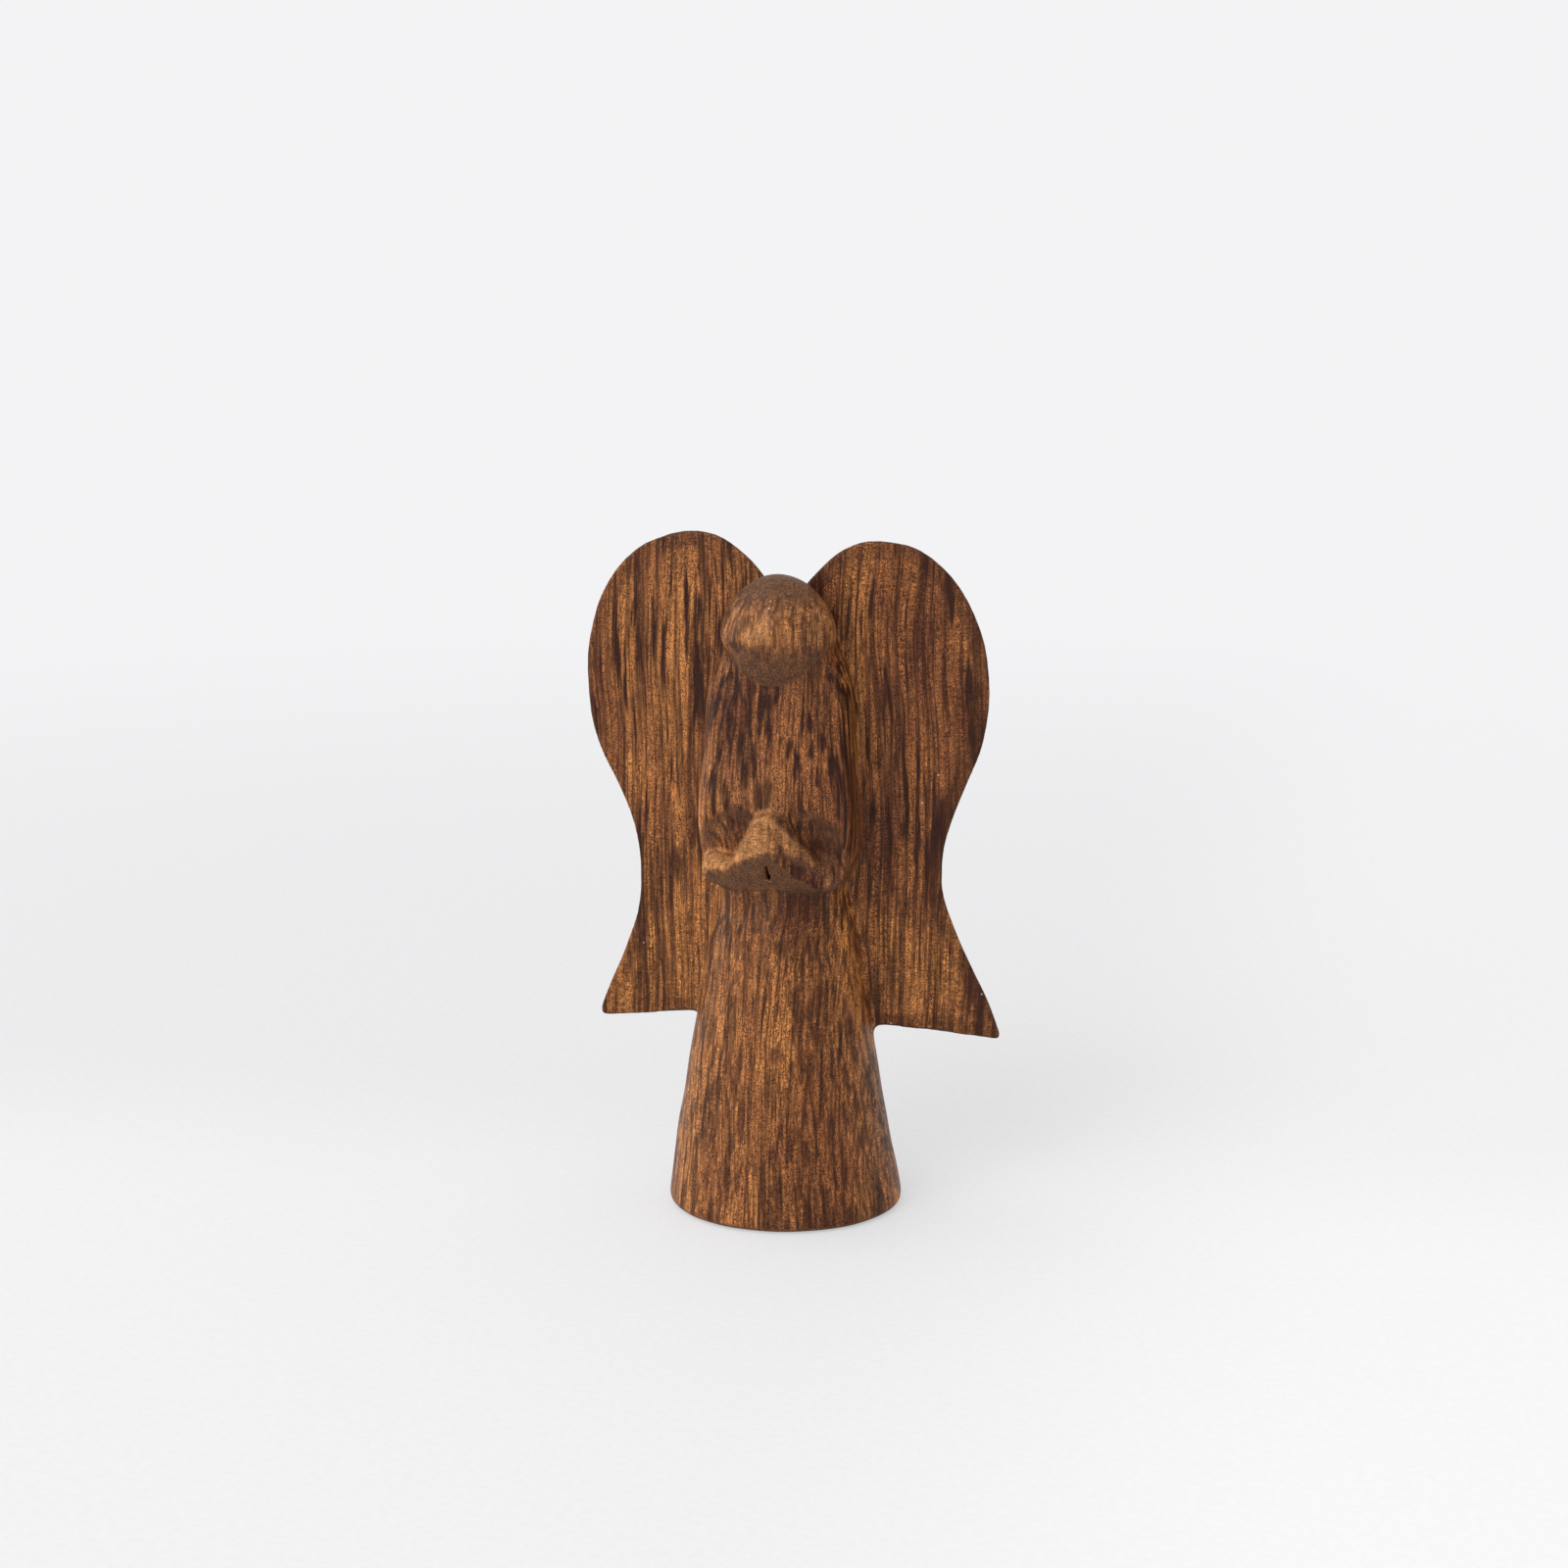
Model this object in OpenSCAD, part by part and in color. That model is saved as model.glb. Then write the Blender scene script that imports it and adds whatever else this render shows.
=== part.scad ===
// Praying angel in dark hardwood: a flared robe, a torso, a blank head, two arms and two wings.
// Millimetres, +Z up. The figure faces -Y, so its own left is +X.
// The origin is the centre of the flat underside of the robe.

/* [Robe] */
// Widest diameter of the robe, just above its base
base_d = 34.6; // [32:0.2:37]
// Diameter of the robe at the waist
waist_d = 19.4; // [18:0.2:20.4]
// Height of the waist above the base
waist_z = 47; // [45:0.5:48]
// Radius of the rounded edge around the base
foot_round = 1.2; // [0.6:0.1:2.4]

/* [Torso] */
// Widest diameter of the torso, level with the sleeves
chest_d = 22; // [21:0.2:23]
// Diameter of the shoulders, level with the chin
shoulder_d = 20.6; // [19:0.2:21.4]
// Height of the chin above the base
chin_z = 78.4; // [77:0.2:80]
// Distance from the axis to the chest at the top of the hollow behind the hands
chest_front = 11; // [10.4:0.1:11.6]
// Backward lean of the chest in degrees
chest_lean = 8; // [6:0.5:10]
// Distance from the axis to the back, at the waist
back_depth = 9; // [8.4:0.1:9.4]
// Forward lean of the back in degrees
back_lean = 5; // [4:0.5:6]

/* [Head] */
// Diameter of the head at its crease
head_d = 16.9; // [16:0.1:18]
// Height of the crease above the base
crease_z = 84.9; // [84:0.1:86]
// Height of the dome above the crease
dome_h = 9.8; // [9:0.1:10.6]
// Distance of the head's axis in front of the robe's axis
head_forward = 4.5; // [4:0.1:5]
// Diameter of the jaw where it meets the chest
chin_d = 9; // [8:0.2:10]

/* [Arms] */
// Height of the elbows' centres above the base
elbow_z = 53.2; // [52.6:0.1:54]
// Height of the fingertips above the base
fingertip_z = 61.2; // [60:0.1:61.8]
// Distance from the robe's axis to the front of the hands
hand_reach = 15; // [14:0.1:16]
// Radius of the forearm
forearm_r = 2.7; // [2.3:0.1:3]
// Top of the sleeves above the base
sleeve_z = 66; // [64:0.5:68]

/* [Wings] */
// Thickness of each wing
wing_t = 5.2; // [4.6:0.1:6]
// Angle in degrees by which each wing sweeps back from the body
wing_sweep = 4; // [0:0.5:8]
// Distance from the robe's axis to the front of the wings, at the middle
wing_front = 0.6; // [0.3:0.1:1.2]
// Height of the left wing above the base
left_wing_top = 99.3; // [98:0.1:101]
// Height of the right wing above the base
right_wing_top = 100; // [98:0.1:101]
// Reach of the left wing from the middle
left_wing_reach = 28.9; // [28:0.1:30]
// Reach of the right wing from the middle
right_wing_reach = 31.1; // [30:0.1:32]

/* [Hidden] */

curve_steps = 12;    // points along each curve of an outline
round_fn = 96;       // facets of preview circles
blend_fn = 32;       // facets of the spheres that shape the arms
beyond = 40;         // reach of a cutting block past the figure
wing_root = 7;       // distance from the middle at which a wing is seated in the body
notch_z = 89.5;      // bottom of the notch between the wings, behind the head
hollow_back = 8.5;   // distance from the axis to the back of the hollow behind the hands
hollow_top = 62;     // top of that hollow
body_x = -0.4;       // the torso stands this far beside the robe's axis, and the palms meet there
body_y = -0.4;       // and this far behind it
sleeve_seat = 8.6;   // distance from the middle of the flat that a sleeve is glued to
nape_front = 3;      // distance from the axis to the front of the nape
nape_top_d = 17;     // diameter of the nape at the crease
elbow_x = 8.9;       // distance from the palms to the centre of an elbow
elbow_y = -7.6;      // depth of that centre
elbow_r = 2.9;       // radius of an elbow
sleeve_y = -4.4;     // depth of the top of a sleeve
sleeve_drop = 3;     // distance from a sleeve's flat top down to its topmost centre
sleeve_r = 2.5;      // radius of a sleeve
wrist_x = 1.6;       // distance from the palms to the centre of a wrist
wrist_z = 56.6;      // height of that centre
fingertip_x = 0.9;   // distance from the palms to the centre of the fingertips
hand_r = 2.1;        // radius of a hand at the fingertips

light_wood = [0.56, 0.37, 0.24];
mid_wood = [0.48, 0.31, 0.2];
dark_wood = [0.41, 0.25, 0.17];

// Points of a cubic curve from a to d that leaves towards b and arrives from c, without its last point.
function curve(a, b, c, d) = [
    for (i = [0:curve_steps - 1])
        let (t = i / curve_steps, s = 1 - t)
            s * s * s * a + 3 * s * s * t * b + 3 * s * t * t * c + t * t * t * d
];

// Points of an elliptical arc about c, with half-axes a and b, from one angle to another.
function arc(c, a, b, from, to) = [
    for (i = [0:curve_steps])
        let (angle = from + (to - from) * i / curve_steps)
            c + [a * cos(angle), b * sin(angle)]
];

// All the space in front of a plane that passes depth y at height z and leans back as it rises.
module space_before(y, z = 0, lean = 0) {
    translate([0, y, z]) rotate([-lean, 0, 0])
        translate([-beyond, -beyond, -beyond]) cube([2 * beyond, beyond, 4 * beyond]);
}

// All the space behind a plane that passes depth y at height z and leans forward as it rises.
module space_behind(y, z = 0, lean = 0) {
    translate([0, y, z]) rotate([lean, 0, 0])
        translate([-beyond, 0, -beyond]) cube([2 * beyond, beyond, 4 * beyond]);
}

// Turns what is made for the +X side to the side asked for: 1 for left, -1 for right.
module on_side(side) {
    mirror([side < 0 ? 1 : 0, 0, 0]) children();
}

// ---- Robe ----

function robe_profile() = concat(
    [[0, 0]],
    arc([base_d / 2 - foot_round, foot_round], foot_round, foot_round, -90, 0),
    [[waist_d / 2, waist_z], [0, waist_z]]
);

module robe() {
    color(mid_wood) difference() {
        rotate_extrude($fn = round_fn) polygon(robe_profile());
        wing_solid(1);
        wing_solid(-1);
    }
}

// ---- Torso ----

function torso_profile() = concat(
    [[0, waist_z], [waist_d / 2, waist_z]],
    curve(
        [waist_d / 2, waist_z + 2], [waist_d / 2 + 0.2, waist_z + 5],
        [chest_d / 2, waist_z + 6], [chest_d / 2, waist_z + 12]
    ),
    curve(
        [chest_d / 2, waist_z + 12], [chest_d / 2, waist_z + 22],
        [shoulder_d / 2 + 0.5, chin_z - 5], [shoulder_d / 2, chin_z]
    ),
    [[shoulder_d / 2, chin_z], [0, chin_z]]
);

// The torso before the arms and wings are let into it: a turned body with a flat chest and back.
module torso_blank() {
    difference() {
        translate([body_x, body_y, 0]) rotate_extrude($fn = round_fn) polygon(torso_profile());
        space_before(-chest_front, hollow_top, chest_lean);
        space_behind(back_depth, waist_z, back_lean);
    }
}

// The space beside the torso that one sleeve fills.
module sleeve_space(side) {
    translate([body_x, 0, waist_z]) on_side(side)
        translate([sleeve_seat, -beyond, 0]) cube([beyond, beyond, sleeve_z - waist_z]);
}

// The space that one arm fills: its sleeve's, and its half of the hollow behind the hands.
module arm_space(side) {
    sleeve_space(side);
    translate([body_x, 0, waist_z]) on_side(side)
        translate([0, -beyond, 0]) cube([beyond, beyond - hollow_back, hollow_top - waist_z]);
}

module torso() {
    color(mid_wood) difference() {
        torso_blank();
        for (side = [-1, 1]) {
            arm_space(side);
            wing_solid(side);
        }
    }
}

// ---- Head ----

function head_profile() = concat(
    [[0, chin_z], [chin_d / 2, chin_z]],
    arc([0, crease_z], head_d / 2, dome_h, 0, 90)
);

// The back of the head and neck: a tapering round block that rises from the shoulders.
module nape() {
    difference() {
        translate([body_x, body_y, chin_z])
            cylinder(d1 = shoulder_d, d2 = nape_top_d, h = crease_z - chin_z, $fn = round_fn);
        space_before(-nape_front);
    }
}

module head() {
    color(light_wood) difference() {
        union() {
            translate([0, -head_forward, 0]) rotate_extrude($fn = round_fn) polygon(head_profile());
            nape();
        }
        for (side = [-1, 1]) wing_solid(side);
        space_behind(wing_front + wing_t / 2);
    }
}

// ---- Arms ----

module ball(at, r) {
    translate(at) sphere(r = r, $fn = blend_fn);
}

// Sleeve, forearm and hand of the arm at +X, before it is cut to its space.
module arm_blank() {
    elbow = [elbow_x, elbow_y, elbow_z];
    wrist = [wrist_x, forearm_r - hand_reach, wrist_z];
    hull() {
        ball([elbow_x, sleeve_y, sleeve_z - sleeve_drop], sleeve_r);
        ball(elbow, elbow_r);
    }
    hull() {
        ball(elbow, elbow_r);
        ball(wrist, forearm_r);
    }
    hull() {
        ball(wrist, forearm_r);
        ball([fingertip_x, hand_r - hand_reach, fingertip_z - hand_r], hand_r);
    }
}

// The sleeve takes in the side of the torso, behind the hollow.
module arm(side) {
    intersection() {
        arm_space(side);
        translate([body_x, 0, 0]) on_side(side) arm_blank();
    }
    intersection() {
        sleeve_space(side);
        difference() {
            torso_blank();
            space_before(-hollow_back);
        }
    }
}

module left_arm() {
    color(light_wood) arm(1);
}

module right_arm() {
    color(light_wood) arm(-1);
}

// ---- Wings ----

// Outline of a wing on the +X side, seen from the front: a broad round top, a narrow middle and a
// pointed lower tip. top and reach are its extremes, and lean moves the tip in or out.
function wing_outline(top, reach, tip) = concat(
    [[0, chin_z], [0, notch_z]],
    curve([0, notch_z], [3, 93.4], [7, top], [0.46 * reach, top]),
    curve([0.46 * reach, top], [0.76 * reach, top], [reach, 90], [reach, 78]),
    curve([reach, 78], [reach, 63], [22.8, 62], [22.8, 48]),
    curve([22.8, 48], [22.8, 43], tip + [-2.4, 8], tip),
    [tip, tip + [-1, -1.4], [13, 27.4], [wing_root, 28], [wing_root, chin_z]]
);

module wing_solid(side) {
    top = side > 0 ? left_wing_top : right_wing_top;
    reach = side > 0 ? left_wing_reach : right_wing_reach;
    tip = side > 0 ? [30.5, 26.8] : [29.4, 27.2];
    on_side(side)
        translate([0, wing_front, 0]) rotate([0, 0, wing_sweep])
            translate([0, wing_t, 0]) rotate([90, 0, 0])
                linear_extrude(wing_t) polygon(wing_outline(top, reach, tip));
}

module left_wing() {
    color(dark_wood) wing_solid(1);
}

module right_wing() {
    color(dark_wood) wing_solid(-1);
}

robe();
torso();
head();
left_arm();
right_arm();
left_wing();
right_wing();
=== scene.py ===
"""Looks of a praying angel carved in dark hardwood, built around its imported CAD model.

The figure is one continuous carving. It is sculpted as a distance function in millimetres, turned into a
mesh, and then divided along flat planes into the same seven pieces as the CAD model. One solid wood
material runs through all of them, so the grain doesn't break where two pieces meet.
"""
import math

import bmesh
import bpy
import numpy as np
import openvdb
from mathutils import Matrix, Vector


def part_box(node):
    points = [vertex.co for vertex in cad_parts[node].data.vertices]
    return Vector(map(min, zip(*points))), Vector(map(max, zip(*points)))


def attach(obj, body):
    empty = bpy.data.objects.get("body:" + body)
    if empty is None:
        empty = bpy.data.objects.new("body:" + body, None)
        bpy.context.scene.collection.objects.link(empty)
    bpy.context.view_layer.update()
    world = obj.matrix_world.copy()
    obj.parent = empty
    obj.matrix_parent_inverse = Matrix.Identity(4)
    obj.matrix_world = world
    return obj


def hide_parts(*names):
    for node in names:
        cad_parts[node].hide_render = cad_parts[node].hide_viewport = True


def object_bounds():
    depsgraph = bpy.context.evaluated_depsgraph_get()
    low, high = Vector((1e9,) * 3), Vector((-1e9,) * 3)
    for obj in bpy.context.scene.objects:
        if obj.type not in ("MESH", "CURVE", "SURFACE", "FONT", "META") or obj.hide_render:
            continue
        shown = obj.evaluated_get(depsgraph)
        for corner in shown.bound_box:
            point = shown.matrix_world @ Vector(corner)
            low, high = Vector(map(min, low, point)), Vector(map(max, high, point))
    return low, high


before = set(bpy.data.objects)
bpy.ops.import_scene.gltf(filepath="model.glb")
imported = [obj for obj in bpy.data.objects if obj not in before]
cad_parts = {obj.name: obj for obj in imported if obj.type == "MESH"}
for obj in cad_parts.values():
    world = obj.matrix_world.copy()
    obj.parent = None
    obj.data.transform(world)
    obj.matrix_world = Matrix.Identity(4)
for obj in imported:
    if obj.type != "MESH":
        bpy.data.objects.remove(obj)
cad_low, cad_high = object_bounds()

MM = 0.001

# ------------------------------------------------------------------ places taken from the CAD model, in mm


def node_box(node):
    """Lowest and highest corner of a CAD node, in millimetres."""
    low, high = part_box(node)
    return np.array(low) / MM, np.array(high) / MM


WAIST_Z = node_box("robe")[1][2]
CHIN_Z = node_box("torso")[1][2]
SLEEVE_TOP = node_box("left_arm")[1][2]
BODY_X = node_box("left_arm")[0][0]
LEFT_REACH, LEFT_TOP = node_box("left_wing")[1][0], node_box("left_wing")[1][2]
RIGHT_REACH, RIGHT_TOP = -node_box("right_wing")[0][0], node_box("right_wing")[1][2]
WING_SWEEP = math.tan(math.radians(4))  # each wing leans back by this much per millimetre outwards
LEFT_SIDE = LEFT_REACH - 0.9  # reach of the left wing's round top; its lower tip reaches further

# ------------------------------------------------------------------ the sculpture's own dimensions, in mm

# Spacing of the grid on which the distance is sampled
GRID = 0.36

# Middle of the crease between the dome and the jaw
HEAD_CENTRE = (-0.2, -4.5, 84.9)
# Radius of the head at the crease
HEAD_R = 8.45
# Height of the dome above the crease
DOME_H = 9.8
# Taper of the jaw, from upright
JAW_SLOPE = math.radians(29)
# Rise of the crease towards the front, per millimetre
CREASE_RISE = 0.13
# How deep the knife facets cut into the dome
FACET_DEPTH = 0.3
# The way each facet faces, as a turn from the front and a tilt upwards
FACETS = [
    (-0.9, 0.25), (-0.25, 0.3), (0.45, 0.2), (1.1, 0.35),
    (-0.5, 0.95), (0.6, 0.9), (2.2, 0.6), (-2.2, 0.6),
]

# Depth of the middle of the wings' thickness, where they meet
WING_MIDDLE = 3.2
# Half of that thickness
WING_HALF = 2.5
# How much less that half is towards the outer rim
WING_THIN = 0.55
# Radius of the wings' rounded rims
WING_RIM = 0.55
# Slope of the bevel around the back of the wings
BEVEL = 0.36

# The ridge down the hands stands this far to the left of the middle
RIDGE_X = 0.2
# Depth of that ridge
RIDGE_Y = -14.0
# Height of the fingertips
FINGERTIP_Z = 61.2
# Half the width of the hands at the fingertips
HAND_HALF = 2.1
# The block that hands and forearms are pared from ends at this depth, inside the torso
ARMS_BACK = -6.5
# Half the width of that block
ARMS_HALF = 9.0
# Bottom of that block
ARMS_Z = 49.4
# Depth and height at which the ridge runs out into the cut under the hands
UNDERCUT_Y, UNDERCUT_Z = -13.2, 54.4
# Middle of the slit where the wrists part, and half its height
SLIT_X, SLIT_Z, SLIT_HALF = -0.45, 52.3, 1.3

# Half the width across both scoops beside the hands
SCOOPS_HALF = 10.2
# Height of the scoops' middle, and half their height
SCOOP_Z, SCOOP_HALF = 55.8, 5.1
# Radius of the scoops' corners
SCOOP_ROUND = 3.8
# Depth of the scoops' floor behind the forearms
SCOOP_Y = -7.7

# Height at which the body has run out, inside the head
BODY_TOP = 90.0
# Shortens a level distance to the distance from the body's leaning wall
WALL_LEAN = 0.97

# The robe and torso at some heights: height, half-width, front, back and how square the section is.
# A squareness of 2 is an ellipse; the torso is nearly a block with rounded corners.
BODY = np.array([
    (-2.0, 17.9, 17.9, 17.9, 2.0),
    (22.0, 13.9, 13.9, 13.9, 2.0),
    (42.0, 10.5, 10.5, 10.5, 2.0),
    (46.0, 9.7, 9.3, 9.8, 2.1),
    (48.2, 9.3, 8.8, 9.5, 2.5),
    (50.2, 9.9, 8.9, 9.3, 3.0),
    (53.0, 11.0, 9.5, 9.1, 4.0),
    (57.0, 11.4, 10.4, 8.9, 5.2),
    (62.0, 11.3, 11.0, 8.4, 5.2),
    (70.0, 10.8, 10.0, 7.6, 4.4),
    (78.4, 10.1, 8.8, 6.6, 3.8),
    (84.0, 8.1, 7.6, 5.4, 3.0),
    (90.0, 5.0, 4.0, 3.0, 2.5),
])

# ------------------------------------------------------------------ distance functions


def smooth_min(a, b, k):
    """The lesser of a and b, with a fillet about k wide where they cross."""
    h = np.maximum(k - np.abs(a - b), 0) / k
    return np.minimum(a, b) - h * h * h * k / 6


def smooth_max(a, b, k):
    """The greater of a and b, with a round about k wide where they cross."""
    return -smooth_min(-a, -b, k)


def step(value, start, end):
    """0 before start, 1 after end, and smooth between."""
    t = np.clip((value - start) / (end - start), 0, 1)
    return t * t * (3 - 2 * t)


def within(value, rise_start, rise_end, fall_start, fall_end):
    """1 from rise_end to fall_start, 0 outside rise_start and fall_end, and smooth between."""
    return step(value, rise_start, rise_end) * (1 - step(value, fall_start, fall_end))


def curve_through(z, heights, values):
    """A smooth curve through the given values at the given heights."""
    slopes = np.gradient(values, heights)
    i = np.clip(np.searchsorted(heights, z) - 1, 0, len(heights) - 2)
    gap = heights[i + 1] - heights[i]
    t = np.clip((z - heights[i]) / gap, 0, 1)
    a, b = values[i], values[i + 1]
    return (
        a * (1 + 2 * t) * (1 - t) ** 2
        + slopes[i] * gap * t * (1 - t) ** 2
        + b * t * t * (3 - 2 * t)
        - slopes[i + 1] * gap * t * t * (1 - t)
    )


def bezier(a, b, c, d, count=14):
    """Points of a cubic curve from a to d, without the last one."""
    t = np.arange(count)[:, None] / count
    s = 1 - t
    a, b, c, d = (np.array(p, float) for p in (a, b, c, d))
    return s**3 * a + 3 * s * s * t * b + 3 * s * t * t * c + t**3 * d


def outline_distance(u, z, outline):
    """Distance from (u, z) to a closed outline, negative inside it."""
    nearest = np.full(np.broadcast(u, z).shape, 1e9)
    sign = np.ones_like(nearest)
    for (u0, z0), (u1, z1) in zip(outline, np.roll(outline, -1, axis=0)):
        eu, ez = u1 - u0, z1 - z0
        wu, wz = u - u0, z - z0
        t = np.clip((wu * eu + wz * ez) / (eu * eu + ez * ez), 0, 1)
        nearest = np.minimum(nearest, (wu - eu * t) ** 2 + (wz - ez * t) ** 2)
        above, below, beside = z >= z0, z < z1, eu * wz > ez * wu
        crossed = (above & below & beside) | ~(above | below | beside)
        sign = np.where(crossed, -sign, sign)
    return sign * np.sqrt(nearest)


def limb(x, y, z, path):
    """A rounded limb through (x, y, z, radius) stations."""
    result = None
    for a, b in zip(path[:-1], path[1:]):
        ax, ay, az, ar = a
        ex, ey, ez, er = (q - p for p, q in zip(a, b))
        t = ((x - ax) * ex + (y - ay) * ey + (z - az) * ez) / (ex * ex + ey * ey + ez * ez)
        t = np.clip(t, 0, 1)
        away = np.sqrt((x - ax - ex * t) ** 2 + (y - ay - ey * t) ** 2 + (z - az - ez * t) ** 2)
        part = away - (ar + er * t)
        result = part if result is None else smooth_min(result, part, 0.6)
    return result


def rounded_corner(a, b, radius):
    """Distance to what lies inside both a and b, with the corner between them rounded."""
    a, b = a + radius, b + radius
    inside = np.minimum(np.maximum(a, b), 0)
    outside = np.sqrt(np.maximum(a, 0) ** 2 + np.maximum(b, 0) ** 2)
    return inside + outside - radius


def ellipsoid(x, y, z, centre, radii):
    """Distance to an ellipsoid, nearly exact close to its surface."""
    dx, dy, dz = x - centre[0], y - centre[1], z - centre[2]
    rx, ry, rz = radii
    near = np.sqrt((dx / rx) ** 2 + (dy / ry) ** 2 + (dz / rz) ** 2)
    steep = np.sqrt((dx / rx**2) ** 2 + (dy / ry**2) ** 2 + (dz / rz**2) ** 2)
    return near * (near - 1) / np.maximum(steep, 1e-6)


# ------------------------------------------------------------------ the figure's parts

# Outlines of the wings, seen from the front, as distance outwards and height.
LEFT_OUTLINE = np.vstack([
    [(0, 60)],
    bezier((0, 89), (2.5, 92.5), (6.5, LEFT_TOP), (13.3, LEFT_TOP)),
    bezier((13.3, LEFT_TOP), (23.2, LEFT_TOP), (LEFT_SIDE, 88.4), (LEFT_SIDE, 77.1)),
    bezier((LEFT_SIDE, 77.1), (LEFT_SIDE, 64.6), (22.8, 61.4), (22.8, 48.9)),
    bezier((22.8, 48.9), (22.8, 44.5), (29.4, 33), (31.5, 26.6)),
    bezier((31.5, 26.6), (31.9, 25.4), (31.4, 25.1), (30.3, 25.2), 6),
    [(30.3, 25.2), (13.5, 27.0), (0, 28)],
])
RIGHT_OUTLINE = np.vstack([
    [(0, 60)],
    bezier((0, 89.6), (3.0, 92.6), (6.8, RIGHT_TOP), (13.6, RIGHT_TOP)),
    bezier((13.6, RIGHT_TOP), (24.2, RIGHT_TOP), (RIGHT_REACH, 91.0), (RIGHT_REACH, 78.4)),
    bezier((RIGHT_REACH, 78.4), (RIGHT_REACH, 61.4), (22.9, 63.5), (22.9, 46.5)),
    bezier((22.9, 46.5), (22.9, 41.5), (26.9, 33.5), (29.2, 27.6)),
    bezier((29.2, 27.6), (29.8, 26.0), (29.3, 25.5), (28.0, 25.6), 6),
    [(28.0, 25.6), (20.9, 26.4), (13, 28), (0, 28.5)],
])


def wing(x, y, z, side, outline):
    """A slab with the outline of one wing, swept back, with rounded rims.

    It thins a little from u = 8 to 28, and its back is bevelled around the outer and upper rim.
    """
    u = x * side
    half = WING_HALF - WING_THIN * step(u, 8, 28)
    depth = y - WING_MIDDLE - np.abs(x) * WING_SWEEP
    bevel = BEVEL * np.maximum(step(u, 14, 20), step(z, 88, 93))
    flat = outline_distance(u, z, outline) + bevel * np.maximum(depth + half, 0)
    return rounded_corner(flat, np.abs(depth) - half, WING_RIM)


def body(x, y, z):
    """The robe and torso: a section that changes with height, round below and nearly square above.

    The foot stands on the axis, and from a height of 12 up the body stands beside it.
    """
    x = x - BODY_X * step(z, 0, 12)
    heights, *columns = BODY.T
    wide, front, back, power = (curve_through(z, heights, column) for column in columns)
    deep = np.where(y < 0, front, back)
    around = np.sqrt(x * x + y * y) + 1e-6
    share = ((np.abs(x) / wide) ** power + (np.abs(y) / deep) ** power) ** (1 / power)
    wall = (around - around / np.maximum(share, 1e-3)) * WALL_LEAN
    return np.maximum(wall, z - BODY_TOP)


def head(x, y, z):
    """A dome with faint knife facets over a tapering jaw, with a crease between them and no features."""
    dome = ellipsoid(x, y, z, HEAD_CENTRE, (HEAD_R, HEAD_R, DOME_H))
    dx, dy, dz = x - HEAD_CENTRE[0], y - HEAD_CENTRE[1], z - HEAD_CENTRE[2]
    for turn, tilt in FACETS:
        nx, ny, nz = math.sin(turn) * math.cos(tilt), -math.cos(turn) * math.cos(tilt), math.sin(tilt)
        reach = math.sqrt((HEAD_R * math.cos(tilt)) ** 2 + (DOME_H * nz) ** 2)
        dome = smooth_max(dome, dx * nx + dy * ny + dz * nz - reach + FACET_DEPTH, 0.5)
    tuck = 0.1 * np.maximum(-dz - 3, 0) ** 2
    above_crease = dz + CREASE_RISE * dy
    taper = HEAD_R + above_crease * math.tan(JAW_SLOPE) - tuck
    jaw = (np.sqrt(dx * dx + dy * dy) - taper) * math.cos(JAW_SLOPE)
    hidden_end = CHIN_Z - 2 - z
    return np.maximum(smooth_max(dome, jaw, 1.4), hidden_end)


def hollow(x, y, z):
    """The two scoops beside the hands, deep behind the forearms and rising to meet the chest."""
    narrowing = 0.3 * np.maximum(z - 56, 0)
    rise = 0.42 * np.maximum(z - 54, 0)
    sides = np.abs(x) - SCOOPS_HALF + narrowing
    ends = np.abs(z - SCOOP_Z) - SCOOP_HALF
    return smooth_max(rounded_corner(sides, ends, SCOOP_ROUND), y - SCOOP_Y + rise, 2.0)


def beside_ridge(x, softness):
    """Distance sideways from the ridge down the hands, softened where it crosses the ridge."""
    return np.sqrt((x - RIDGE_X) ** 2 + softness)


def by_side(x, left, right):
    """One value to the left of the ridge down the hands, and another to its right."""
    return np.where(x > RIDGE_X, left, right)


def underside(x, y, z):
    """Height above the sloping cut under the hands and forearms, which droops towards both elbows."""
    across = beside_ridge(x, 0.25)
    droop = by_side(x, 0.7, 0.4)
    behind = y - UNDERCUT_Y - 0.42 * across
    above = z - UNDERCUT_Z + droop * across
    return 0.77 * behind + 0.64 * above


def hands(x, y, z):
    """Hands and forearms pared from one bell-shaped block, with a ridge down the middle of its front.

    Its front falls back from the ridge and its sides flare out downwards, a little more on the left.
    """
    across = beside_ridge(x, 0.08)
    fall = by_side(x, 0.56, 0.42)
    flare = by_side(x, 0.57, 0.47)
    front = (RIDGE_Y + fall * across - y) * 0.9
    half = HAND_HALF + flare * (61.0 - z) + 0.2 * np.maximum(56.5 - z, 0)
    block = smooth_max(front, (across - half) * 0.85, 1.3)
    block = smooth_max(block, -underside(x, y, z), 0.9)
    block = smooth_max(block, z - FINGERTIP_Z, 2.2)
    block = smooth_max(block, y - ARMS_BACK, 1.0)
    block = smooth_max(block, np.abs(x) - ARMS_HALF, 3.0)
    return smooth_max(block, ARMS_Z - z, 1.5)


# Limbs as (x, y, z, radius) stations.
LEFT_ELBOW = [(7.9, -7.0, 52.0, 2.5), (6.0, -8.4, 51.6, 2.1)]
RIGHT_ELBOW = [(-8.2, -7.8, 52.0, 2.6), (-5.2, -9.4, 51.4, 2.2), (-2.5, -9.6, 51.2, 2.0)]
LEFT_GROOVE = [(2.4, -13.6, 54.8, 1.1), (4.9, -12.5, 52.8, 1.8), (7.8, -10.7, 51.2, 1.3)]


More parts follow.
